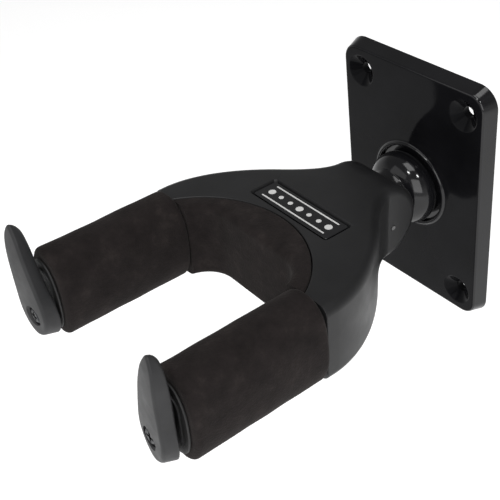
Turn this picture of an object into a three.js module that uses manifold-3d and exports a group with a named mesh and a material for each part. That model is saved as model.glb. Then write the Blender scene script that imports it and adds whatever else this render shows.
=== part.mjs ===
// Wall guitar hanger: a moulded yoke with foam-covered arms, carried by a ball joint on a screwed
// wall plate. Millimetres, +Z up. The origin is the centre of the plate's back face; the wall is
// on the +Y side and the arms reach out along -Y.
import * as THREE from 'three';
import { mergeVertices } from 'three/addons/utils/BufferGeometryUtils.js';
import Module from 'manifold-3d';

const wasm = await Module();
wasm.setup();

// ---- driving dimensions ------------------------------------------------------------------
const GAP = 0.3; // between neighbouring pieces
const CUT = 1; // how far a cutting tool runs past the face it opens

const PLATE = { width: 62.2, height: 90, thickness: 5.2, corner: 7, draft: 1.3, edge: 1 };
const SCREW_HOLE = { halfX: 21.9, halfZ: 35.3, radius: 2, headRadius: 5.5, headDepth: 2.7 };
const RING = { crestRadius: 15.2, crest: 5.95, inner: 14.3, outer: 16.5, grooveFloor: 3.4 };
const CIRCLIP = { inner: 11.8, outer: 14.1, thickness: 0.7, back: 1.0, mouth: 0.5, pocket: 15.2 };

const PIVOT_DEPTH = 10.7; // ball centre, in front of the wall
const RAKE = THREE.MathUtils.degToRad(3.68); // the arms' rise above level, as it hangs
const TIP_UP = THREE.MathUtils.degToRad(8); // highest the yoke tips; the lowest is level
const BALL = { radius: 6, neck: 3.2, shank: 4, shankEnd: 27 };
const HOUSING = { radius: 13.1, halfLength: 8.55, centre: 8.46, front: 10, skirt: 12.4,
  flangeRadius: 13.9, flangeBack: 3.7, flangeFront: 4.5, back: 0.4, bore: 7.9, plugBore: 8.9,
  plugFloor: 2, seatRadius: 7.25 };
const SEAT = { inner: 6.2, outer: 7.05, mouth: 4.9 };
const CUP = { inner: 6.2, outer: 7.4, holeAngle: 14, rimAngle: 62 };
const SPRING = { inner: 3.6, outer: 7.3, cone: 1.2, thickness: 0.7, front: 3.95 };
const PLUG = { radius: 8.6, thickness: 1.7, spannerHole: 1, spannerOffset: 5.2 };

const BODY = { halfThick: 13.5, fillet: 3, knuckleHalfWidth: 12.5, knuckleCentre: 17.5,
  shoulder: 22.2, shoulderAt: 31.5, outer: 41.3, outerAt: 66, end: 69.7, crotchRadius: 36,
  crotchAt: 50.5 };
const SOCKET_RADIUS = 11.4; // hollow in the knuckle that clears the housing's front
const PIN = { radius: 0.8, out: 15.2, drop: 1.75, proud: 0.2 };
const BADGE = { length: 36, width: 11, depth: 1.6, at: 43.7, thickness: 1.1, corner: 0.8 };
const ARM = { spacing: 33.3, halfWidth: 4.8, halfHeight: 9.6, root: 58, end: 116.9 };
const SLEEVE = { halfWidth: 9.85, halfHeight: 15.45, power: 2.3, start: 70, end: 115.3, round: 1.6 };
const STOP = { halfWidth: 7.4, halfHeight: 12.4, start: 115.6, end: 116.4 };
const PAD = { face: 62.3, cornerRadius: 10.5, cornerTurn: 73, tipInner: 24.6, halfThick: 13.4, fillet: 2.5 };
const CAP = { back: 117.8, front: 123, slant: 0.11, leanFrom: 12, leanBack: 1.3, top: 26.9, edge: 1 };
// The cap's two faces as [x, z] from the arm's centre, starting at the tip; +x is the outer side.
const CAP_FRONT_FACE = [[2.6, 26.9], [-0.4, 23], [-2.4, 17.6], [-4.2, 11.4], [-5.9, 5.4],
  [-7.2, -0.4], [-7, -5.4], [-4.6, -9.9], [-0.7, -11.9], [3.4, -9.6], [5.7, -4.4], [6.2, 3],
  [6.2, 12], [6, 20.5], [4.9, 24.8]];
const CAP_BACK_FACE = [[2.2, 20.6], [0.6, 17.6], [-0.6, 13.6], [-2.6, 8.8], [-4.8, 4.2],
  [-7.2, -0.6], [-7.7, -6.4], [-5.2, -11.2], [-0.6, -13.3], [4.2, -11.3], [6.1, -6], [6.2, 2],
  [6.2, 9.5], [5.6, 15], [4.2, 19.2]];
const CAP_SCREW = { inset: 1.5, z: -4.2, headRadius: 2.9, headHeight: 1.7, shank: 1.9, length: 18,
  recessRadius: 3.2, recessDepth: 2.3 };

const ROUND = 56; // facets round a large turned piece
const SMALL_ROUND = 24;

// ---- materials ---------------------------------------------------------------------------
const material = (color, roughness, metalness) =>
  () => new THREE.MeshStandardMaterial({ color, roughness, metalness });
const glossBlack = material(0x17181a, 0.16, 0.7);
const satinBlack = material(0x2a2b2c, 0.42, 0.3);
const capGrey = material(0x3b3c3e, 0.5, 0.1);
const foamBlack = material(0x2e2a2a, 0.95, 0);
const steel = material(0x8d8f92, 0.35, 1);
const darkSteel = material(0x46484b, 0.4, 0.9);
const nylon = material(0xd8d5cc, 0.5, 0);
const badgeBlack = material(0x101011, 0.3, 0.1);

// ---- solids ------------------------------------------------------------------------------
/** The geometry with shared corners merged, needle triangles dropped and its faces turned out. */
function tidy(source) {
  const bare = new THREE.BufferGeometry();
  bare.setAttribute('position', source.getAttribute('position'));
  bare.setIndex(source.getIndex());
  const merged = mergeVertices(bare, 1e-4);
  const corners = merged.getIndex().array;
  const kept = [];
  for (let i = 0; i < corners.length; i += 3) {
    const [a, b, c] = [corners[i], corners[i + 1], corners[i + 2]];
    if (a !== b && b !== c && c !== a) kept.push(a, b, c);
  }
  if (signedVolume(merged.getAttribute('position'), kept) < 0) kept.reverse();
  merged.setIndex(kept);
  return merged;
}

function signedVolume(position, index) {
  const [a, b, c] = [new THREE.Vector3(), new THREE.Vector3(), new THREE.Vector3()];
  let volume = 0;
  for (let i = 0; i < index.length; i += 3) {
    a.fromBufferAttribute(position, index[i]);
    b.fromBufferAttribute(position, index[i + 1]);
    c.fromBufferAttribute(position, index[i + 2]);
    volume += a.dot(b.cross(c)) / 6;
  }
  return volume;
}

const solid = (geometry) => {
  const closed = tidy(geometry);
  return new wasm.Manifold(new wasm.Mesh({
    numProp: 3,
    vertProperties: new Float32Array(closed.getAttribute('position').array),
    triVerts: new Uint32Array(closed.getIndex().array),
  }));
};

function geometryOf(manifold) {
  const mesh = manifold.getMesh();
  const geometry = new THREE.BufferGeometry();
  geometry.setAttribute('position', new THREE.BufferAttribute(mesh.vertProperties, 3));
  geometry.setIndex(new THREE.BufferAttribute(mesh.triVerts, 1));
  return tidy(geometry);
}

const join = (first, ...rest) => rest.reduce((sum, next) => sum.add(next), first);
const cut = (first, ...tools) => tools.reduce((left, tool) => left.subtract(tool), first);

function mesh(name, shape, paint) {
  const geometry = shape instanceof THREE.BufferGeometry ? tidy(shape) : geometryOf(shape);
  const flat = geometry.toNonIndexed();
  flat.computeVertexNormals();
  const piece = new THREE.Mesh(mergeVertices(flat), paint());
  piece.name = name;
  return piece;
}

// ---- shape helpers -----------------------------------------------------------------------
/** A piece turned about the Y axis; the profile is [radius, y] pairs. */
const turned = (profile, facets = ROUND) =>
  new THREE.LatheGeometry(profile.map(([r, y]) => new THREE.Vector2(r, y)), facets);

/** A turned piece with a hole along its axis: the profile closes on itself. */
const turnedRing = (profile, facets = ROUND) => turned([...profile, profile[0]], facets);

const rod = (radius, from, to, facets = SMALL_ROUND) =>
  turned([[0, from], [radius, from], [radius, to], [0, to]], facets);

/** Points of an arc about (0, centreY), as [radius, y]; 0 degrees points along +Y. */
function arc(radius, centreY, fromDeg, toDeg, steps = 6) {
  return Array.from({ length: steps + 1 }, (_, i) => {
    const angle = THREE.MathUtils.degToRad(fromDeg + (toDeg - fromDeg) * i / steps);
    return [Math.max(0, radius * Math.sin(angle)), centreY + radius * Math.cos(angle)];
  });
}

/** A closed skin through a stack of outlines; flatten gives each point's place in its plane. */
function loft(levels, flatten) {
  const clockwise = THREE.ShapeUtils.area(levels[0].map(flatten)) < 0;
  const outlines = clockwise ? levels.map((level) => level.toReversed()) : levels;
  const count = outlines[0].length;
  const position = outlines.flat().flatMap((p) => [p.x, p.y, p.z]);
  const index = [];
  for (let level = 0; level < outlines.length - 1; level++) {
    for (let i = 0; i < count; i++) {
      const [a, b] = [level * count + i, level * count + (i + 1) % count];
      index.push(a, b, b + count, a, b + count, a + count);
    }
  }
  const last = (outlines.length - 1) * count;
  for (const [start, outline, turn] of [[0, outlines[0], true], [last, outlines.at(-1), false]]) {
    for (const [a, b, c] of THREE.ShapeUtils.triangulateShape(outline.map(flatten), [])) {
      index.push(start + a, start + (turn ? c : b), start + (turn ? b : c));
    }
  }
  const geometry = new THREE.BufferGeometry();
  geometry.setAttribute('position', new THREE.Float32BufferAttribute(position, 3));
  geometry.setIndex(index);
  return geometry;
}
const seenAlongY = (p) => new THREE.Vector2(p.x, p.z);
const seenAlongZ = (p) => new THREE.Vector2(p.x, p.y);

/** Corner points of a rectangle with round corners, centred on the origin. */
function roundedRectangle(width, height, radius, steps = 6) {
  const points = [];
  for (const [signX, signZ, start] of [[1, 1, 0], [-1, 1, 90], [-1, -1, 180], [1, -1, 270]]) {
    for (let i = 0; i <= steps; i++) {
      const angle = THREE.MathUtils.degToRad(start + 90 * i / steps);
      points.push([signX * (width / 2 - radius) + radius * Math.cos(angle),
        signZ * (height / 2 - radius) + radius * Math.sin(angle)]);
    }
  }
  return points;
}

/** Points of an oval that is squarer than an ellipse when power is over 2. */
const superellipse = (halfWidth, halfHeight, power, steps = 44) =>
  Array.from({ length: steps }, (_, i) => {
    const angle = 2 * Math.PI * i / steps;
    const [c, s] = [Math.cos(angle), Math.sin(angle)];
    return [halfWidth * Math.sign(c) * Math.abs(c) ** (2 / power),
      halfHeight * Math.sign(s) * Math.abs(s) ** (2 / power)];
  });

/** Points of a slot-shaped section, round at top and bottom. */
const stadium = (halfWidth, halfHeight) =>
  roundedRectangle(2 * halfWidth, 2 * halfHeight, halfWidth * 0.98, 6);

const atY = (points, y) => points.map(([x, z]) => new THREE.Vector3(x, y, z));

/** A straight bar of one section along -Y, from one distance out to another. */
const bar = (section, from, to, centreX = 0, centreZ = 0) =>
  loft([from, to].map((out) => atY(section, -out)), seenAlongY).translate(centreX, 0, centreZ);

// ---- wall plate --------------------------------------------------------------------------
function wallPlate() {
  const { width, height, thickness, corner, draft, edge } = PLATE;
  const outlineAt = (inset, y) =>
    atY(roundedRectangle(width - 2 * inset, height - 2 * inset, corner - inset), y);
  const slab = loft([
    outlineAt(0.3, 0),
    outlineAt(0, -0.3),
    outlineAt(draft, edge - thickness),
    outlineAt(draft + edge * 0.3, edge * 0.3 - thickness),
    outlineAt(draft + edge, -thickness),
  ], seenAlongY);
  const { crestRadius, crest, inner, outer, grooveFloor } = RING;
  const ring = turnedRing([[inner, -grooveFloor], [inner, 0.4 - crest], [inner + 0.4, -crest],
    [crestRadius + 0.3, -crest], [outer - 0.5, 0.2 - thickness], [outer, -thickness],
    [outer, -grooveFloor]]);
  const groove = rod(inner, -grooveFloor, -crest - CUT, ROUND);
  const bore = rod(HOUSING.skirt + GAP, CUT, -crest - CUT, ROUND);
  const pocket = rod(CIRCLIP.pocket, CUT, -CIRCLIP.back - CIRCLIP.thickness - GAP, ROUND);
  return cut(join(cut(solid(slab), solid(groove)), solid(ring)), solid(bore), solid(pocket),
    ...screwHoles());
}

function screwHoles() {
  const { halfX, halfZ, radius, headRadius, headDepth } = SCREW_HOLE;
  const mouth = PLATE.thickness;
  const grow = headRadius + (headRadius - radius) * CUT / headDepth;
  const tool = turned([[0, CUT], [radius, CUT], [radius, headDepth - mouth], [grow, -mouth - CUT],
    [0, -mouth - CUT]], SMALL_ROUND);
  return [[1, 1], [-1, 1], [-1, -1], [1, -1]].map(([x, z]) =>
    solid(tool.clone().translate(x * halfX, 0, z * halfZ)));
}

// ---- ball joint, plate side --------------------------------------------------------------
/** The dome: an oblate shell on a plain skirt, with a round front wall about the ball's centre. */
function ballHousing() {
  const { radius, halfLength, centre, front, skirt, flangeRadius, flangeBack, flangeFront, back, bore,
    plugBore, plugFloor } = HOUSING;
  const dome = [];
  for (let y = -flangeFront; ; y -= 0.85) {
    const r = radius * Math.sqrt(1 - ((y + centre) / halfLength) ** 2);
    if (Math.hypot(r, y + PIVOT_DEPTH) < front && y < -PIVOT_DEPTH) break;
    dome.push([r, y]);
  }
  const [lastRadius, lastY] = dome.at(-1);
  const meets = THREE.MathUtils.radToDeg(Math.atan2(lastRadius, lastY + PIVOT_DEPTH)) + 3;
  const grooveBack = -CIRCLIP.back + 0.1;
  const grooveFront = -CIRCLIP.back - CIRCLIP.thickness - 0.1;
  const outside = [[skirt, -back], [skirt, grooveBack], [CIRCLIP.inner - 0.2, grooveBack],
    [CIRCLIP.inner - 0.2, grooveFront], [skirt, grooveFront], [skirt, -flangeBack],
    [flangeRadius, -flangeBack], [flangeRadius, -flangeFront], ...dome,
    ...arc(front, -PIVOT_DEPTH, meets, 180, 7)];
  const inside = [...arc(HOUSING.seatRadius, -PIVOT_DEPTH, 180, 90), [bore, -PIVOT_DEPTH],
    [bore, -plugFloor], [plugBore, -plugFloor], [plugBore, CUT]];
  const shell = cut(solid(turned([[0, -back], ...outside])), solid(turned([...inside, [0, CUT]])));
  return cut(shell, ...neckSlot());
}

/** The slot that the stud's neck tips in: from level up to TIP_UP. */
function neckSlot() {
  const steps = 4;
  return Array.from({ length: steps + 1 }, (_, i) => {
    const tool = rod(BALL.neck + GAP, -HOUSING.front - CUT, -SEAT.inner + 2);
    tool.rotateX(-TIP_UP * i / steps).translate(0, -PIVOT_DEPTH, 0);
    return solid(tool);
  });
}

/** Half shell in front of the ball, with a wide mouth for the neck. */
function ballSeat() {
  const mouthAngle = 180 - THREE.MathUtils.radToDeg(Math.asin(SEAT.mouth / SEAT.outer));
  return turnedRing([...arc(SEAT.outer, 0, 94, mouthAngle), ...arc(SEAT.inner, 0, mouthAngle, 94)])
    .translate(0, -PIVOT_DEPTH, 0);
}

function pressureCup() {
  const { inner, outer, holeAngle, rimAngle } = CUP;
  return turnedRing([...arc(outer, 0, holeAngle, rimAngle, 8), ...arc(inner, 0, rimAngle, holeAngle, 8)],
    SMALL_ROUND);
}

function coneSpring() {
  const { inner, outer, cone, thickness, front } = SPRING;
  return turnedRing([[inner, -front], [outer, cone - front], [outer, cone + thickness - front],
    [inner, thickness - front]], SMALL_ROUND);
}

function backPlug() {
  const { radius, thickness, spannerHole, spannerOffset } = PLUG;
  const disc = solid(rod(radius, 0, -thickness, ROUND));
  const holes = [-1, 1].map((side) =>
    solid(rod(spannerHole, CUT, -thickness - CUT, 16).translate(side * spannerOffset, 0, 0)));
  return cut(disc, ...holes);
}

/** A C-shaped snap ring; its mouth points down. */
function housingCirclip() {
  const { inner, outer, thickness, back, mouth } = CIRCLIP;
  const [from, to] = [-Math.PI / 2 + mouth / 2, 1.5 * Math.PI - mouth / 2];
  const shape = new THREE.Shape();
  shape.absarc(0, 0, outer, from, to, false);
  shape.absarc(0, 0, inner, to, from, true);
  return new THREE.ExtrudeGeometry(shape, { depth: thickness, bevelEnabled: false, curveSegments: 36 })
    .rotateX(Math.PI / 2).translate(0, -back, 0);
}

// ---- ball joint, yoke side ---------------------------------------------------------------
function ballStud() {
  const { radius, neck, shank, shankEnd } = BALL;
  const neckAngle = 180 - THREE.MathUtils.radToDeg(Math.asin(neck / radius));
  const body = turned([...arc(radius, 0, 0, neckAngle, 12), [neck, -SOCKET_RADIUS - GAP],
    [shank, -SOCKET_RADIUS - GAP - 0.8], [shank, 0.8 - shankEnd], [shank - 0.8, -shankEnd],
    [0, -shankEnd]], SMALL_ROUND);
  return cut(solid(body), solid(crossRod(PIN.radius + GAP, 2 * shank)));
}

/** A rod across the knuckle, where the cross pin runs. */
const crossRod = (radius, halfLength) =>
  rod(radius, -halfLength, halfLength, 20).rotateZ(Math.PI / 2).translate(0, -PIN.out, -PIN.drop);

// ---- yoke --------------------------------------------------------------------------------
/** The fork's hollow curve, from the root of an arm to the middle. */
function forkCurve(radius, steps = 14) {
  const centre = BODY.crotchAt + BODY.crotchRadius;
  const widest = Math.acos((centre - BODY.end) / radius);
  return Array.from({ length: steps + 1 }, (_, i) => {
    const angle = widest * (1 - i / steps);
    const at = new THREE.Vector2(radius * Math.sin(angle), centre - radius * Math.cos(angle));
    return { at, out: new THREE.Vector2(0, 0) };
  });
}

/** Right half of the body's outline, from the knuckle out to the arm and back into the fork.
    Each entry is a point and the direction in which its top edge is rounded over. */
function bodySide() {
  const { knuckleHalfWidth, knuckleCentre, shoulder, shoulderAt, outer, outerAt, end } = BODY;
  const neck = new THREE.CubicBezierCurve(
    new THREE.Vector2(knuckleHalfWidth, knuckleCentre), new THREE.Vector2(13.3, 21.6),
    new THREE.Vector2(16.4, 25.7), new THREE.Vector2(shoulder, shoulderAt));
  const flank = new THREE.CubicBezierCurve(
    new THREE.Vector2(shoulder, shoulderAt), new THREE.Vector2(33, 41.7),
    new THREE.Vector2(40.8, 54), new THREE.Vector2(outer, outerAt));
  const along = (curve, steps) => Array.from({ length: steps }, (_, i) => {
    const way = curve.getTangent((i + 1) / steps);
    return { at: curve.getPoint((i + 1) / steps), out: new THREE.Vector2(way.y, -way.x) };
  });
  const edge = (x, y) => ({ at: new THREE.Vector2(x, y), out: new THREE.Vector2(1, 0) });
  return [edge(knuckleHalfWidth, knuckleCentre), ...along(neck, 9), ...along(flank, 14),
    edge(outer, end), ...forkCurve(BODY.crotchRadius)];
}

/** Levels of a rounded edge on both faces of a slab, as [inset, z]. */
function roundedLevels(halfThick, fillet) {
  const edge = [90, 60, 30, 0].map((deg) => {
    const angle = THREE.MathUtils.degToRad(deg);
    return [fillet * (1 - Math.cos(angle)), halfThick - fillet + fillet * Math.sin(angle)];
  });
  return [...edge.map(([inset, z]) => [inset, -z]), ...edge.reverse()];
}

/** A slab that is the same left and right, from the entries of its right half. */
function mirroredSlab(side, halfThick, fillet) {
  const outlineAt = ([inset, z]) => {
    const place = (sign) => ({ at, out }) =>
      new THREE.Vector3(sign * (at.x - inset * out.x), -(at.y - inset * out.y), z);
    const offMiddle = side.filter(({ at }) => at.x > 0);
    return [...side.map(place(1)), ...offMiddle.map(place(-1)).reverse()];
  };
  return loft(roundedLevels(halfThick, fillet).map(outlineAt), seenAlongZ);
}

/** The round-nosed knuckle: a barrel across the yoke with rounded rims. */
function knuckle() {
  const { halfThick, fillet, knuckleHalfWidth, knuckleCentre } = BODY;
  const rim = [0, 30, 60, 90].map((deg) => {
    const angle = THREE.MathUtils.degToRad(deg);
    return [halfThick - fillet * (1 - Math.cos(angle)),
      knuckleHalfWidth - fillet * (1 - Math.sin(angle))];
  });
  const profile = [[0, -knuckleHalfWidth], ...rim.map(([r, x]) => [r, -x]).reverse(), ...rim,
    [0, knuckleHalfWidth]];
  return turned(profile, 60).rotateZ(Math.PI / 2).translate(0, -knuckleCentre, 0);
}

const capScrewX = (side) => side * (ARM.spacing - CAP_SCREW.inset);

function armBar(side) {
  const section = stadium(ARM.halfWidth, ARM.halfHeight);
  const holeEnd = CAP_SCREW.recessDepth + CAP_SCREW.length + CUT - CAP.front;
  const hole = rod(CAP_SCREW.shank + GAP, -ARM.end - CUT, holeEnd, 20);
  return {
    bar: solid(bar(section, ARM.root, ARM.end, side * ARM.spacing)),
    hole: solid(hole.translate(capScrewX(side), 0, CAP_SCREW.z)),
  };
}

function yokeFrame() {
  const body = solid(mirroredSlab(bodySide(), BODY.halfThick, BODY.fillet));
  const arms = [-1, 1].map(armBar);
  const socket = new THREE.SphereGeometry(SOCKET_RADIUS, 36, 24);
  const bore = rod(BALL.shank + GAP, 0, -BALL.shankEnd - GAP);
  const badgePocket = new THREE.BoxGeometry(BADGE.length, BADGE.width, 2 * BADGE.depth)
    .translate(0, -BADGE.at, BODY.halfThick);
  const whole = join(body, solid(knuckle()), ...arms.map((arm) => arm.bar));
  return cut(whole, solid(socket), solid(bore), solid(badgePocket),
    solid(crossRod(PIN.radius + GAP / 2, 2 * BODY.knuckleHalfWidth)), ...arms.map((arm) => arm.hole));
}

function badgePlate() {
  const { length, width, thickness, corner, depth, at } = BADGE;
  const outline = roundedRectangle(length - 2 * GAP, width - 2 * GAP, corner, 4);
  const floor = BODY.halfThick - depth + 0.1;
  return loft([floor, floor + thickness].map((z) =>
    outline.map(([x, y]) => new THREE.Vector3(x, y - at, z))), seenAlongZ);
}

// ---- soft parts --------------------------------------------------------------------------
/** The U-shaped foam pad that lines the fork. */
function crotchPad() {
  const { face, cornerRadius, cornerTurn, tipInner, halfThick, fillet } = PAD;
  const steps = 8;
  const corner = Array.from({ length: steps + 1 }, (_, i) => {
    const angle = THREE.MathUtils.degToRad(cornerTurn * i / steps);
    const at = new THREE.Vector2(tipInner - cornerRadius * (1 - Math.sin(angle)),
      face + cornerRadius * (1 - Math.cos(angle)));
    return { at, out: new THREE.Vector2(-Math.sin(angle), Math.cos(angle)) };
  });
  const tip = { at: new THREE.Vector2(tipInner, BODY.end), out: new THREE.Vector2(-1, 0) };
  const side = [...corner, tip, ...forkCurve(BODY.crotchRadius - GAP)];
  const section = stadium(ARM.halfWidth + GAP, ARM.halfHeight + GAP);
  const arms = [-1, 1].map((s) => solid(bar(section, ARM.root, ARM.end, s * ARM.spacing)));
  return cut(solid(mirroredSlab(side, halfThick, fillet)), ...arms);
}

function foamSleeve(side) {
  const { halfWidth, halfHeight, power, start, end, round } = SLEEVE;
  const levels = [[round, start], [round * 0.3, start + round * 0.3], [0, start + round],
    [0, end - round], [round * 0.3, end - round * 0.3], [round, end]];
  const outside = loft(levels.map(([inset, out]) =>
    atY(superellipse(halfWidth - inset, halfHeight - inset, power), -out)), seenAlongY);
  const bore = bar(stadium(ARM.halfWidth + GAP, ARM.halfHeight + GAP), start - CUT, end + CUT);
  return geometryOf(cut(solid(outside), solid(bore))).translate(side * ARM.spacing, 0, 0);
}

// ---- arm ends ----------------------------------------------------------------------------
function stopWasher(side) {
  const { halfWidth, halfHeight, start, end } = STOP;
  const disc = bar(superellipse(halfWidth, halfHeight, SLEEVE.power), start, end);
  const bore = bar(stadium(ARM.halfWidth + GAP, ARM.halfHeight + GAP), start - CUT, end + CUT);
  return geometryOf(cut(solid(disc), solid(bore))).translate(side * ARM.spacing, 0, 0);
}

/** Evenly timed points on a closed smooth curve, with the direction out of it at each. */
function closedCurve(points, steps = 45) {
  const curve = new THREE.CatmullRomCurve3(points.map(([x, z]) => new THREE.Vector3(x, z, 0)), true);
  return Array.from({ length: steps }, (_, i) => {
    const along = curve.getTangent(i / steps);
    return { at: curve.getPoint(i / steps), out: new THREE.Vector2(along.y, -along.x) };
  });
}

/** Leaf-shaped paddle: it is yawed towards the fork's gap, and its tip leans back. */
function endCap(side) {
  const { back, front, slant, leanFrom, leanBack, edge, top } = CAP;
  const [face, rear] = [CAP_FRONT_FACE, CAP_BACK_FACE].map((points) => closedCurve(points));
  const ring = (depth, inset) => face.map(({ at, out }, i) => {
    const spread = at.y > 0 ? Math.sqrt(1 - (1 - depth) ** 2) : depth;
    const x = THREE.MathUtils.lerp(rear[i].at.x, at.x, spread) - inset * out.x;
    const z = THREE.MathUtils.lerp(rear[i].at.y, at.y, spread) - inset * out.y;
    const lean = leanBack * (Math.max(0, z - leanFrom) / (top - leanFrom)) ** 2;
    return new THREE.Vector3(side * x, -THREE.MathUtils.lerp(back, front - lean, depth) - slant * x, z);
  });
  const rim = edge / (front - back);
  const leaf = loft([ring(0, 0), ring(0.12, 0), ring(0.4, 0), ring(1 - rim, 0),
    ring(1 - rim * 0.3, edge * 0.3), ring(1, edge)], seenAlongY);
  const screwX = side * -CAP_SCREW.inset;
  const { recessRadius, recessDepth, shank, z } = CAP_SCREW;
  const recess = rod(recessRadius, recessDepth - front, -front - 3).translate(screwX, 0, z);
  const hole = rod(shank + GAP, CUT * 2 - back, -front - CUT, 20).translate(screwX, 0, z);
  return geometryOf(cut(solid(leaf), solid(recess), solid(hole))).translate(side * ARM.spacing, 0, 0);
}

/** Pan-head screw with a cross recess. */
function capScrew(side) {
  const { headRadius, headHeight, shank, length, recessDepth, z } = CAP_SCREW;
  const seat = recessDepth - CAP.front - GAP;
  const tip = seat + length;
  const body = turned([[0, seat - headHeight], [headRadius * 0.7, seat - headHeight],
    [headRadius, seat - headHeight * 0.55], [headRadius, seat], [shank, seat], [shank, tip - 1],
    [shank * 0.5, tip], [0, tip]], SMALL_ROUND);
  const slots = [[3.4, 0.8], [0.8, 3.4]].map(([width, height]) =>
    solid(new THREE.BoxGeometry(width, 2, height).translate(0, seat - headHeight, 0)));
  return geometryOf(cut(solid(body), ...slots)).translate(capScrewX(side), 0, z);
}

// ---- assembly ----------------------------------------------------------------------------
const hanger = new THREE.Group();
hanger.add(
  mesh('wall_plate', wallPlate(), glossBlack),
  mesh('ball_housing', ballHousing(), glossBlack),
  mesh('housing_circlip', housingCirclip(), darkSteel),
  mesh('ball_seat', ballSeat(), nylon),
  mesh('cone_spring', coneSpring(), steel),
  mesh('back_plug', backPlug(), darkSteel),
);

const yoke = new THREE.Group();
yoke.position.set(0, -PIVOT_DEPTH, 0);
yoke.rotation.x = -RAKE;
yoke.add(
  mesh('pressure_cup', pressureCup(), nylon),
  mesh('ball_stud', ballStud(), steel),
  mesh('cross_pin', crossRod(PIN.radius, BODY.knuckleHalfWidth + PIN.proud), steel),
  mesh('yoke_frame', yokeFrame(), satinBlack),
  mesh('badge_plate', badgePlate(), badgeBlack),
  mesh('crotch_pad', crotchPad(), foamBlack),
);
for (const [word, side] of [['left', -1], ['right', 1]]) {
  yoke.add(
    mesh(`foam_sleeve_${word}`, foamSleeve(side), foamBlack),
    mesh(`stop_washer_${word}`, stopWasher(side), satinBlack),
    mesh(`end_cap_${word}`, endCap(side), capGrey),
    mesh(`cap_screw_${word}`, capScrew(side), darkSteel),
  );
}
hanger.add(yoke);

export default hanger;
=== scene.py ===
"""Looks of a wall guitar hanger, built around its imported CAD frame."""

import math

import bmesh
import bpy
from mathutils import Matrix, Vector, noise


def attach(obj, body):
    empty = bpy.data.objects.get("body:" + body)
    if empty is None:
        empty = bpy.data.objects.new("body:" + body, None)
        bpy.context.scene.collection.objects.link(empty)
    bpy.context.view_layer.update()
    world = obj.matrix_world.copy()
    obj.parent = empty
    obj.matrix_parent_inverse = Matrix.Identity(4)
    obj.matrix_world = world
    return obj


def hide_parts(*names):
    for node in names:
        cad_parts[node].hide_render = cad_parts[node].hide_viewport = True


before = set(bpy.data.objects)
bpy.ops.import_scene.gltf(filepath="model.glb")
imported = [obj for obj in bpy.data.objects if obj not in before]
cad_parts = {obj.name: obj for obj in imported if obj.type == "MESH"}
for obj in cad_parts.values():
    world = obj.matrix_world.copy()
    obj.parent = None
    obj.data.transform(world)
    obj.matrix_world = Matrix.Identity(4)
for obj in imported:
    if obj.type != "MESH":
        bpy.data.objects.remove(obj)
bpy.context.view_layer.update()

# ---- dimensions in millimetres, in the CAD's own frame ------------------------------------
# Depths and distances out run from the wall or from the pivot towards -Y.
MM = 0.001
GAP = 0.3
PIVOT_DEPTH = 10.7
RAKE = math.radians(3.68)

# Wall plate, its screw holes and its ring.
PLATE_WIDTH, PLATE_HEIGHT, PLATE_THICK, PLATE_CORNER = 62.2, 90.0, 5.2, 7.0
PLATE_DRAFT, PLATE_EDGE, PLATE_BACK_EDGE = 1.3, 1.0, 0.35
HOLE_X, HOLE_Z, HOLE_RADIUS, HEAD_RADIUS, HEAD_DEPTH = 21.9, 35.3, 2.0, 5.5, 2.7
HEAD_EDGE = 0.25
RING_INNER, RING_OUTER, RING_CREST, GROOVE_FLOOR = 14.3, 16.5, 5.95, 3.4
RING_FILLET, RING_CROWN, RING_FLARE = 0.55, 0.2, 1.1
# The mouth of a screw hole: how much wider than the head, and how far under the plate's face.
HOLE_MOUTH = ((0.02, 0.08), (HEAD_EDGE, 0.0), (0.6, -1.0))
# A cutter reaches from behind the plate's back to well past its face.
CUT_BEHIND, CUT_PAST = 1.0, 9.0

# Ball housing.
DOME_RADIUS, DOME_HALF_LENGTH, DOME_CENTRE, DOME_FRONT, DOME_STEP = 13.1, 8.55, 8.46, 10.0, 0.2
SKIRT_RADIUS, SKIRT_BACK, FLANGE_RADIUS, FLANGE_BACK, FLANGE_FRONT = 12.4, 0.4, 13.9, 3.7, 4.5
CIRCLIP_BACK, CIRCLIP_FRONT, CIRCLIP_INNER, CIRCLIP_POCKET, CLIP_ROOM = 1.0, 1.7, 11.8, 15.2, 0.1
BORE, PLUG_BORE, PLUG_FLOOR, SEAT_RADIUS = 7.9, 8.9, 2.0, 7.25
NECK_RADIUS, NECK_FROM, NECK_TO = 3.2, 4.2, 13.0
TIP_UP, TIP_STEPS = math.radians(8), 4
SHANK_RADIUS, SHANK_END = 4.0, 27.0

# Yoke frame.
HALF_THICK, FILLET = 13.5, 3.0
KNUCKLE_HALF, KNUCKLE_AT, SOCKET_RADIUS = 12.5, 17.5, 11.4
BODY_HALF, BODY_END, BODY_CORNER, CORNER_FILLET = 41.3, 69.7, 0.2, 2.85
NECK_CURVE = ((KNUCKLE_HALF, KNUCKLE_AT), (13.3, 21.6), (16.4, 25.7), (22.2, 31.5))
FLANK_CURVE = ((22.2, 31.5), (33.0, 41.7), (40.8, 54.0), (BODY_HALF, 66.0))
CROTCH_RADIUS, CROTCH_AT, CROTCH_FILLET = 36.0, 50.5, 0.5
CROTCH_CENTRE = CROTCH_AT + CROTCH_RADIUS
ARM_X, ARM_HALF_W, ARM_HALF_H, ARM_CORNER, ARM_ROOT, ARM_END = 33.3, 4.8, 9.6, 4.7, 66.0, 116.9
PIN_RADIUS, PIN_OUT, PIN_DROP, PIN_PROUD, PIN_HOLE_HALF = 0.8, 15.2, 1.75, 0.2, 30.0

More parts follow.
